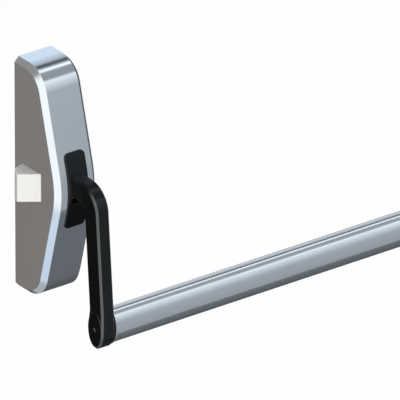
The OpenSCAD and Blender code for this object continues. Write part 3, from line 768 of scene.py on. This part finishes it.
@dataclass
class Workshop:
    """What every sub-assembly works with: the loaded frame and the materials."""

    nodes: dict[str, bpy.types.Object]
    paint: Paintbox

    def dress(self, node: str, finish: Finish) -> None:
        """Gives a carried-over CAD node its finish.

        Args:
            node: Name of the CAD node.
            finish: Finish that it gets.
        """
        data = self.nodes[node].data
        data.materials.clear()
        data.materials.append(self.paint.of(finish))
        LOG.info("dressed %s in %s", node, finish.name)

    def finished(self, mesh: bpy.types.Mesh, name: str, body: Body | None, slot: str, finish: Finish,
                 *replaced: str) -> bpy.types.Object:
        """Makes an object of a finished mesh and hangs it on its body.

        Args:
            mesh: Mesh in the row frame.
            name: Name of the piece.
            body: Body that it rides on, or None for a piece that is left on no body.
            slot: The record's material slot; not used.
            finish: Finish that it gets.
            *replaced: CAD nodes that it stands for.

        Returns:
            The piece.
        """
        piece = bpy.data.objects.new(name, mesh)
        bpy.context.scene.collection.objects.link(piece)
        mesh.materials.clear()
        mesh.materials.append(self.paint.of(finish))
        if body is not None:
            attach(piece, body.value)
        piece.visible_glossy = finish not in UNREFLECTED
        if replaced:
            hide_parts(*replaced)
        LOG.info("made %s with %d faces", name, len(mesh.polygons))
        return piece

    def merged(self, node: str, tidy_angle: float = 0.2) -> bpy.types.Mesh:
        """Copy of a CAD node's mesh with its loose triangles joined.

        Args:
            node: Name of the CAD node.
            tidy_angle: Angle in degrees under which neighbouring faces become one.

        Returns:
            The joined mesh.
        """
        mesh = bpy.data.meshes.new(node + "_copy")
        form = bmesh.new()
        form.from_mesh(self.nodes[node].data)
        bmesh.ops.remove_doubles(form, verts=form.verts, dist=SAME_PLACE)
        bmesh.ops.dissolve_limit(form, angle_limit=math.radians(tidy_angle), verts=form.verts, edges=form.edges,
                                 use_dissolve_boundaries=False)
        form.to_mesh(mesh)
        form.free()
        return mesh

    def rounded(self, node: str, width: float, segments: int, sharp: float) -> bpy.types.Mesh:
        """Copy of a CAD node with its sharp edges rounded.

        Args:
            node: Name of the CAD node.
            width: Width of the rounding in metres.
            segments: Faces across it.
            sharp: Least angle in degrees of an edge that is rounded.

        Returns:
            The rounded mesh.
        """
        holder = bpy.data.objects.new(node + "_rounding", self.merged(node))
        bpy.context.scene.collection.objects.link(holder)
        bevel = holder.modifiers.new("round", "BEVEL")
        bevel.width = width
        bevel.segments = segments
        bevel.limit_method = "ANGLE"
        bevel.angle_limit = math.radians(sharp)
        bevel.harden_normals = False
        bevel.use_clamp_overlap = True
        flat = bpy.data.objects.new(node + "_flats", self.applied(holder, ROUNDED_SMOOTH))
        bpy.context.scene.collection.objects.link(flat)
        weighted = flat.modifiers.new("flats", "WEIGHTED_NORMAL")
        weighted.mode = "FACE_AREA"
        weighted.weight = 100
        weighted.keep_sharp = True
        return self.applied(flat)

    def refined(self, node: str, body: Body, slot: str, finish: Finish, width: float, segments: int = 2,
                sharp: float = 24.0) -> None:
        """Replaces a CAD node by its copy with rounded edges.

        Args:
            node: Name of the CAD node.
            body: Body that it rides on.
            slot: The record's material slot.
            finish: Finish that it gets.
            width: Width of the rounding in metres.
            segments: Faces across it.
            sharp: Least angle in degrees of an edge that is rounded.
        """
        self.finished(self.rounded(node, width, segments, sharp), node + "_dressed", body, slot, finish, node)

    def applied(self, holder: bpy.types.Object, smooth: float | None = None) -> bpy.types.Mesh:
        """Plain mesh of an object with its modifiers worked in, after which the object goes.

        Args:
            holder: Object with modifiers.
            smooth: Angle in degrees below which edges are shaded smooth, or None to keep the shading.

        Returns:
            The finished mesh.
        """
        bpy.context.view_layer.update()
        graph = bpy.context.evaluated_depsgraph_get()
        mesh = bpy.data.meshes.new_from_object(holder.evaluated_get(graph), depsgraph=graph)
        bpy.data.objects.remove(holder)
        if smooth is not None:
            mesh.shade_smooth()
            mesh.set_sharp_from_angle(angle=math.radians(smooth))
        return mesh


# ---------------------------------------------------------------- geometry node trees


class Tree:
    """A geometry node group with short calls for its nodes."""

    def __init__(self, name: str, inputs: dict[str, str]) -> None:
        """Starts the group.

        Args:
            name: Name of the group.
            inputs: Name and socket type of each input past the geometry.
        """
        self.group = bpy.data.node_groups.new(name, "GeometryNodeTree")
        face = self.group.interface
        face.new_socket("Geometry", in_out="INPUT", socket_type="NodeSocketGeometry")
        self.ids = {key: face.new_socket(key, in_out="INPUT", socket_type=kind).identifier
                    for key, kind in inputs.items()}
        face.new_socket("Geometry", in_out="OUTPUT", socket_type="NodeSocketGeometry")
        self.start = self.group.nodes.new("NodeGroupInput")
        self.end = self.group.nodes.new("NodeGroupOutput")

    def node(self, kind: str, **links: object) -> bpy.types.Node:
        """Adds a node and joins or sets its inputs.

        Args:
            kind: Blender's name of the node type.
            **links: Socket or value for each named input, with _ for a space.

        Returns:
            The node.
        """
        made = self.group.nodes.new(kind)
        for key, value in links.items():
            socket = made.inputs[key.replace("_", " ")]
            if isinstance(value, bpy.types.NodeSocket):
                self.group.links.new(value, socket)
            else:
                socket.default_value = value
        return made

    def given(self, name: str) -> bpy.types.NodeSocket:
        """One of the group's inputs."""
        return self.start.outputs[name]

    def close(self, result: bpy.types.NodeSocket) -> None:
        """Ends the tree in Realize Instances and Set Material.

        Args:
            result: Geometry that the tree has made.
        """
        real = self.node("GeometryNodeRealizeInstances", Geometry=result)
        painted = self.node("GeometryNodeSetMaterial", Geometry=real.outputs[0], Material=self.given("Material"))
        self.group.links.new(painted.outputs[0], self.end.inputs[0])

    def mesh(self, base: bpy.types.Mesh, values: dict[str, object], shop: Workshop, smooth: float) -> bpy.types.Mesh:
        """Plain mesh of the tree run over a base mesh.

        Args:
            base: Mesh that the tree starts from.
            values: Value of each named input.
            shop: Workshop that works the modifier in.
            smooth: Angle in degrees below which edges are shaded smooth.

        Returns:
            The finished mesh.
        """
        holder = bpy.data.objects.new(self.group.name, base)
        bpy.context.scene.collection.objects.link(holder)
        modifier = holder.modifiers.new("nodes", "NODES")
        modifier.node_group = self.group
        for key, value in values.items():
            modifier[self.ids[key]] = value
        return shop.applied(holder, smooth)


def wound_wire_tree() -> Tree:
    """Tree that sweeps a round wire along the base mesh's edges, with closed ends.

    Returns:
        The tree, with inputs Wire radius, Sides and Material.
    """
    tree = Tree("wound_wire", {"Wire radius": "NodeSocketFloat", "Sides": "NodeSocketInt",
                               "Material": "NodeSocketMaterial"})
    path = tree.node("GeometryNodeMeshToCurve", Mesh=tree.given("Geometry"))
    ring = tree.node("GeometryNodeCurvePrimitiveCircle", Radius=tree.given("Wire radius"),
                     Resolution=tree.given("Sides"))
    wire = tree.node("GeometryNodeCurveToMesh", Curve=path.outputs[0], Profile_Curve=ring.outputs[0], Fill_Caps=True)
    tree.close(wire.outputs[0])
    return tree


def screw_row_tree() -> Tree:
    """Tree that sets a turned screw with a socket on every point of the base mesh.

    Returns:
        The tree, with inputs Screw, Turn and Material.
    """
    tree = Tree("screw_row", {"Screw": "NodeSocketObject", "Turn": "NodeSocketFloat",
                              "Material": "NodeSocketMaterial"})
    screw = tree.node("GeometryNodeObjectInfo", Object=tree.given("Screw"))
    number = tree.node("GeometryNodeInputIndex")
    angle = tree.group.nodes.new("ShaderNodeMath")
    angle.operation = "MULTIPLY"
    tree.group.links.new(number.outputs[0], angle.inputs[0])
    tree.group.links.new(tree.given("Turn"), angle.inputs[1])
    turned = tree.group.nodes.new("ShaderNodeCombineXYZ")
    tree.group.links.new(angle.outputs[0], turned.inputs["X"])
    spots = tree.node("GeometryNodeInstanceOnPoints", Points=tree.given("Geometry"),
                      Instance=screw.outputs["Geometry"], Rotation=turned.outputs[0])
    tree.close(spots.outputs[0])
    return tree


def polyline(name: str, points: list[Vector]) -> bpy.types.Mesh:
    """Mesh of one open line of points.

    Args:
        name: Name of the mesh.
        points: The points in order.

    Returns:
        The mesh.
    """
    mesh = bpy.data.meshes.new(name)
    mesh.from_pydata(points, [(i, i + 1) for i in range(len(points) - 1)], [])
    return mesh


# ---------------------------------------------------------------- sub-assemblies


@dataclass(frozen=True)
class CoverScrew:
    """Button-head screw with a hexagon socket, along -X from the origin under its head."""

    length: float = 0.006
    shank_r: float = 0.002
    head_r: float = 0.0038
    rise: float = 0.0014
    dome_degrees: tuple[int, ...] = (9, 18, 27, 36, 45, 54, 63)
    dome_share: float = 0.99
    dome_out: float = 0.00004
    seat: float = 0.0001
    rim_in: float = 0.0002
    rim_high: float = 0.00015
    socket_r: float = 0.0013
    socket_floor: float = 0.0004
    sides: int = 48

    def profile(self) -> list[Span]:
        """Outline from the screw's end to the socket's rim.

        Returns:
            Points as X and radius.
        """
        turns = [math.radians(d) for d in self.dome_degrees]
        dome = [(self.rise * math.sin(a), self.head_r * math.cos(a) * self.dome_share + self.dome_out) for a in turns]
        return [(-self.length, self.shank_r), (-self.seat, self.shank_r), (-self.seat, self.head_r - self.rim_in),
                (self.rim_high, self.head_r), *dome]

    def form(self, mirrored: bool) -> bpy.types.Object:
        """Makes the screw once, for a tree to set in its places.

        Args:
            mirrored: Whether it lies along +X instead.

        Returns:
            A hidden object with the screw's mesh.
        """
        form = bmesh.new()
        count = self.sides
        turns = [math.tau * k / count for k in range(count)]
        rings = [[form.verts.new((x, r * math.cos(a), r * math.sin(a))) for a in turns] for x, r in self.profile()]
        for first, second in zip(rings, rings[1:]):
            for k in range(count):
                form.faces.new((first[k], first[(k + 1) % count], second[(k + 1) % count], second[k]))
        form.faces.new(list(reversed(rings[0])))
        corners = [math.tau * k / 6 for k in range(6)]
        hexagon = [form.verts.new((rings[-1][0].co.x, self.socket_r * math.cos(a), self.socket_r * math.sin(a)))
                   for a in corners]
        floor = [form.verts.new((self.socket_floor, v.co.y, v.co.z)) for v in hexagon]
        step = count // 6
        for k in range(6):
            span = [rings[-1][(step * k + j) % count] for j in range(step + 1)]
            form.faces.new((*span, hexagon[(k + 1) % 6], hexagon[k]))
            form.faces.new((hexagon[k], hexagon[(k + 1) % 6], floor[(k + 1) % 6], floor[k]))
        form.faces.new(floor)
        bmesh.ops.recalc_face_normals(form, faces=form.faces)
        mesh = bpy.data.meshes.new("screw_form")
        form.to_mesh(mesh)
        form.free()
        if mirrored:
            for v in mesh.vertices:
                v.co.x = -v.co.x
            mesh.flip_normals()
        return bpy.data.objects.new("screw_form", mesh)


@dataclass
class Case:
    """One wall-mounted case: cover, face plate, chassis and the parts of the arm's pivot."""

    shop: Workshop
    side: Side
    side_x: float = 0.0255
    screw_d: float = 0.012
    screw_z: float = 0.096
    axle_d: float = 0.056
    return_r: float = 0.0078
    return_wire: float = 0.0009
    return_turns: int = 4
    return_steps: int = 40
    return_sides: int = 14
    near_x: float = 0.0106
    far_x: float = 0.0197
    leg_d: float = 0.0700
    chassis_t: float = 0.0025
    leg_gap: float = 0.0011
    screw_turn: float = 0.4

    def name(self, part: str) -> str:
        """Name of one of this side's nodes."""
        return f"{self.side.prefix}_{part}"

    def cover(self) -> None:
        """Folded sheet cover with rounded edges."""
        self.shop.refined(self.name("case_cover"), Body.CASES, "case_paint", CASE_LACQUER, 0.0006, segments=3)

    def face_plate(self) -> None:
        """Black plate over the arm's opening."""
        self.shop.refined(self.name("face_plate"), Body.CASES, "black_plate", PLATE_BLACK, 0.0003)

    def cover_screws(self, tree: Tree) -> None:
        """Two button-head screws that hold the cover.

        Args:
            tree: Tree of screw_row_tree.
        """
        node = self.name("cover_screws")
        spots = bpy.data.meshes.new("screw_spots")
        spots.from_pydata([(self.side.x(self.side_x), -self.screw_d, s * self.screw_z) for s in (-1, 1)], [], [])
        screw = CoverScrew().form(self.side is Side.HINGE)
        values = {"Screw": screw, "Turn": self.screw_turn, "Material": self.shop.paint.of(SCREW_STEEL)}
        mesh = tree.mesh(spots, values, self.shop, SCREW_SMOOTH)
        self.shop.finished(mesh, node + "_dressed", Body.CASES, "screw_steel", SCREW_STEEL, node)

    def return_spring(self, tree: Tree) -> None:
        """Torsion spring that lifts the bar, with a leg on the back plate and a leg under the arm's peg.

        Args:
            tree: Tree of wound_wire_tree.
        """
        node = self.name("return_spring")
        count = self.return_turns * self.return_steps
        points = [Vector((self.side.x(self.far_x), -self.chassis_t - self.leg_gap, -self.return_r))]
        for i in range(count + 1):
            a = -math.pi / 2 - math.tau * i / self.return_steps
            x = self.side.x(self.far_x + (self.near_x - self.far_x) * i / count)
            points.append(Vector((x, -self.axle_d + self.return_r * math.cos(a), self.return_r * math.sin(a))))
        points.append(Vector((self.side.x(self.near_x), -self.leg_d, -self.return_r)))
        values = {"Wire radius": self.return_wire, "Sides": self.return_sides,
                  "Material": self.shop.paint.of(SPRING_WIRE)}
        mesh = tree.mesh(polyline("return_path", points), values, self.shop, WIRE_SMOOTH)
        piece = self.shop.finished(mesh, node + "_dressed", None, "spring_steel", SPRING_WIRE, node)
        self.side.x(self.far_x)
        self.side.x(self.near_x)
        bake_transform(piece)

    def build(self, wires: Tree, screws: Tree) -> None:
        """Makes and dresses everything that stays with the case.

        Args:
            wires: Tree that sweeps wire.
            screws: Tree that sets screws.
        """
        self.cover()
        self.face_plate()
        self.cover_screws(screws)
        self.return_spring(wires)
        for part, finish in (("case_chassis", ZINC_STEEL), ("arm_axle", SCREW_STEEL),
                             ("axle_spacers", PLUG_BLACK), ("stop_buffer", RUBBER)):
            self.shop.dress(self.name(part), finish)


@dataclass
class Arm:
    """Cranked arm with its bushes, the plug with its collar, and the screw that holds the bar."""

    shop: Workshop
    side: Side

    def build(self) -> None:
        """Makes and dresses the arm's pieces."""
        prefix = self.side.prefix
        self.shop.refined(f"{prefix}_arm", Body.BAR, "black_arm", ARM_BLACK, 0.0004)
        self.shop.refined(f"{prefix}_bar_plug", Body.BAR, "black_plug", PLUG_BLACK, 0.0003, sharp=40.0)
        self.shop.dress(f"{prefix}_arm_bushes", BRONZE)
        self.shop.dress(f"{prefix}_bar_screw", SCREW_STEEL)


@dataclass
class PushBar:
    """Oval aluminium tube, smooth outside, that bears on the plugs inside."""

    shop: Workshop
    start: float = 0.0104
    end: float = 0.8296
    reach: float = 0.1124
    drop: float = 0.139
    half_d: float = 0.0130
    half_h: float = 0.0191
    bore_d: float = 0.0083
    bore_h: float = 0.0167
    sides: int = 480

    def outline(self, half_d: float, half_h: float) -> list[Span]:
        """Oval as depth and height from the bar's middle.

        Args:
            half_d: Half of its depth.
            half_h: Half of its height.

        Returns:
            Points anticlockwise from the front.
        """
        turns = [math.tau * i / self.sides for i in range(self.sides)]
        return [(half_d * math.cos(t), half_h * math.sin(t)) for t in turns]

    def build(self) -> None:
        """Makes the tube in place of the CAD one."""
        outer, inner = self.outline(self.half_d, self.half_h), self.outline(self.bore_d, self.bore_h)
        form = bmesh.new()
        rings = []
        for x, outline in ((self.start, inner), (self.start, outer), (self.end, outer), (self.end, inner)):
            rings.append([form.verts.new((x, -self.reach - d, -self.drop + z)) for d, z in outline])
        rings.append(rings[0])
        for first, second in zip(rings, rings[1:]):
            for k in range(self.sides):
                n = (k + 1) % self.sides
                form.faces.new((first[k], first[n], second[n], second[k]))
        bmesh.ops.recalc_face_normals(form, faces=form.faces)
        mesh = bpy.data.meshes.new("push_bar_tube")
        form.to_mesh(mesh)
        form.free()
        mesh.shade_smooth()
        mesh.set_sharp_from_angle(angle=math.radians(TUBE_SMOOTH))
        self.shop.finished(mesh, "push_bar_dressed", Body.BAR, "bar_aluminium", BAR_ALUMINIUM, "push_bar")


@dataclass
class Latch:
    """Latch bolt with its guide, spring, rod and the rocker that draws it in."""

    shop: Workshop
    spring_d: float = 0.024
    coil_r: float = 0.0046
    wire_r: float = 0.0006
    first_x: float = -0.0364
    last_x: float = 0.0203
    turns: int = 12
    steps: int = 36
    wire_sides: int = 12
    throw: float = 0.0196

    def spring(self, tree: Tree) -> None:
        """Compression spring on its rod inside the bolt.

        Args:
            tree: Tree of wound_wire_tree.
        """
        count = self.turns * self.steps
        points = []
        for i in range(count + 1):
            a = math.tau * i / self.steps
            x = self.first_x + (self.last_x - self.first_x) * i / count
            points.append(Vector((x, -self.spring_d + self.coil_r * math.cos(a), self.coil_r * math.sin(a))))
        values = {"Wire radius": self.wire_r, "Sides": self.wire_sides,
                  "Material": self.shop.paint.of(SPRING_WIRE)}
        mesh = tree.mesh(polyline("latch_spring_path", points), values, self.shop, WIRE_SMOOTH)
        spring = self.shop.finished(mesh, "latch_spring_dressed", Body.CASES, "spring_steel", SPRING_WIRE,
                                    "latch_spring")
        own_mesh(spring)

    def build(self, wires: Tree) -> None:
        """Makes and dresses the latch's pieces.

        Args:
            wires: Tree that sweeps wire.
        """
        self.shop.refined("latch_bolt", Body.BOLT, "bolt_steel", BOLT_STEEL, 0.0005, segments=3)
        self.spring(wires)
        for node, finish in (("latch_drive_pin", SCREW_STEEL), ("latch_guide", NYLON),
                             ("latch_spring_rod", SCREW_STEEL), ("rocker", ZINC_STEEL), ("rocker_pin", SCREW_STEEL)):
            self.shop.dress(node, finish)


# ---------------------------------------------------------------- studio


@dataclass(frozen=True)
class Lamp:
    """Soft rectangular lamp: its place from the aim point and its size in metres, its power in watts."""

    name: str
    place: Triple
    size: Span
    power: float
    colour: Colour = WHITE


LAMPS = (Lamp("left_front_softbox", (-2.4, -2.0, 0.2), (1.6, 2.2), 60.0),
         Lamp("top_softbox", (0.4, -0.3, 2.6), (2.4, 1.6), 50.0, (0.95, 0.98, 1.0)),
         Lamp("right_front_strip", (1.6, -2.4, 1.05), (2.6, 0.5), 22.0))
# Point in the middle of the picture, and the way from it to the camera
AIM = (0.1253, -0.1124, -0.0311)
TO_CAMERA = (-0.5366, -0.7200, 0.4400)


@dataclass
class Studio:
    """Pale floor, light tent, soft lamps and the camera at the photograph's angle."""

    aim: Vector
    to_camera: Vector
    lens: float = 1650.0
    sensor: float = 36.0
    clip: Span = (5.0, 100.0)
    view_width: float = 0.4068
    floor_z: float = -0.50
    floor_size: float = 20.0
    floor_colour: Colour = (0.80, 0.80, 0.80)
    # How much of the floor the camera sees as plain white, so that a little shadow stays
    floor_white: float = 0.965
    room: Colour = (0.30, 0.31, 0.33)
    tent_r: float = 4.0

    def camera(self) -> None:
        """Long-lens camera on the photograph's line of sight."""
        data = bpy.data.cameras.new("camera")
        data.lens = self.lens
        data.sensor_width = self.sensor
        data.clip_start, data.clip_end = self.clip
        eye = bpy.data.objects.new("camera", data)
        bpy.context.scene.collection.objects.link(eye)
        back = self.to_camera.normalized()
        eye.location = self.aim + back * (self.view_width * self.lens / self.sensor)
        eye.rotation_euler = (-back).to_track_quat("-Z", "Y").to_euler()
        bpy.context.scene.camera = eye

    def world(self) -> None:
        """White where the camera, gloss or glass sees it, and a soft grey room for the rest."""
        world = bpy.data.worlds.new("room")
        bpy.context.scene.world = world
        world.use_nodes = True
        nodes, links = world.node_tree.nodes, world.node_tree.links
        nodes.clear()
        output = nodes.new("ShaderNodeOutputWorld")
        seen, room, mix = (nodes.new("ShaderNodeBackground"), nodes.new("ShaderNodeBackground"),
                           nodes.new("ShaderNodeMixShader"))
        seen.inputs["Color"].default_value = (*WHITE, 1.0)
        room.inputs["Color"].default_value = (*self.room, 1.0)
        links.new(backdrop_share(world.node_tree), mix.inputs["Fac"])
        links.new(room.outputs[0], mix.inputs[1])
        links.new(seen.outputs[0], mix.inputs[2])
        links.new(mix.outputs[0], output.inputs["Surface"])

    def floor(self) -> None:
        """Wide pale floor that keeps a little of the object's shadow."""
        form = bmesh.new()
        bmesh.ops.create_grid(form, x_segments=1, y_segments=1, size=self.floor_size)
        mesh = bpy.data.meshes.new("floor")
        form.to_mesh(mesh)
        form.free()
        floor = bpy.data.objects.new("floor", mesh)
        floor.location.z = self.floor_z
        floor.visible_glossy = False
        bpy.context.scene.collection.objects.link(floor)
        s = Shader("pale_floor")
        s.surface.inputs["Base Color"].default_value = (*self.floor_colour, 1.0)
        s.set(Roughness=0.8, Specular_IOR_Level=0.0)
        glow = s.node("ShaderNodeEmission")
        share = s.node("ShaderNodeMath", operation="MULTIPLY")
        share.inputs[1].default_value = self.floor_white
        s.link(backdrop_share(s.tree), share.inputs[0])
        mix = s.node("ShaderNodeMixShader")
        s.link(share.outputs[0], mix.inputs["Fac"])
        s.link(s.surface.outputs[0], mix.inputs[1])
        s.link(glow.outputs[0], mix.inputs[2])
        s.link(mix.outputs[0], s.output.inputs["Surface"])
        mesh.materials.append(s.material)

    def tent(self) -> None:
        """Light tent round the object, which only gloss sees: bright panels, gaps between them and dark cards."""
        form = bmesh.new()
        bmesh.ops.create_icosphere(form, subdivisions=4, radius=self.tent_r)
        bmesh.ops.reverse_faces(form, faces=form.faces)
        mesh = bpy.data.meshes.new("light_tent")
        form.to_mesh(mesh)
        form.free()
        mesh.shade_smooth()
        tent = bpy.data.objects.new("light_tent", mesh)
        tent.location = self.aim
        bpy.context.scene.collection.objects.link(tent)
        mesh.materials.append(TentCloth().material())
        for ray in ("camera", "diffuse", "transmission", "volume_scatter", "shadow"):
            setattr(tent, "visible_" + ray, False)

    def hang(self, lamp: Lamp) -> None:
        """Hangs a lamp so that it faces the aim point.

        Args:
            lamp: The lamp.
        """
        data = bpy.data.lights.new(lamp.name, "AREA")
        data.shape = "RECTANGLE"
        data.size, data.size_y = lamp.size
        data.energy = lamp.power
        data.color = lamp.colour
        place = self.aim + Vector(lamp.place)
        made = bpy.data.objects.new(lamp.name, data)
        bpy.context.scene.collection.objects.link(made)
        made.location = place
        made.visible_glossy = False
        made.rotation_euler = (self.aim - place).to_track_quat("-Z", "Y").to_euler()

    def build(self) -> None:
        """Sets up the whole studio."""
        self.camera()
        self.world()
        self.floor()
        self.tent()
        for lamp in LAMPS:
            self.hang(lamp)


def main() -> None:
    """Builds the sub-assemblies in order, then the studio."""
    logging.basicConfig(level=logging.INFO, format="%(name)s: %(message)s")
    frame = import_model()
    for old in [o for o in bpy.data.objects if o.type in ("LIGHT", "CAMERA")]:
        bpy.data.objects.remove(old)
    bpy.context.scene.view_settings.view_transform = "Standard"
    shop = Workshop(frame["nodes"], Paintbox())
    wires, screws = wound_wire_tree(), screw_row_tree()
    for side in Side:
        Case(shop, side).build(wires, screws)
        Arm(shop, side).build()
    Latch(shop).build(wires)
    PushBar(shop).build()
    Studio(Vector(AIM), Vector(TO_CAMERA)).build()


if __name__ == "__main__":
    main()
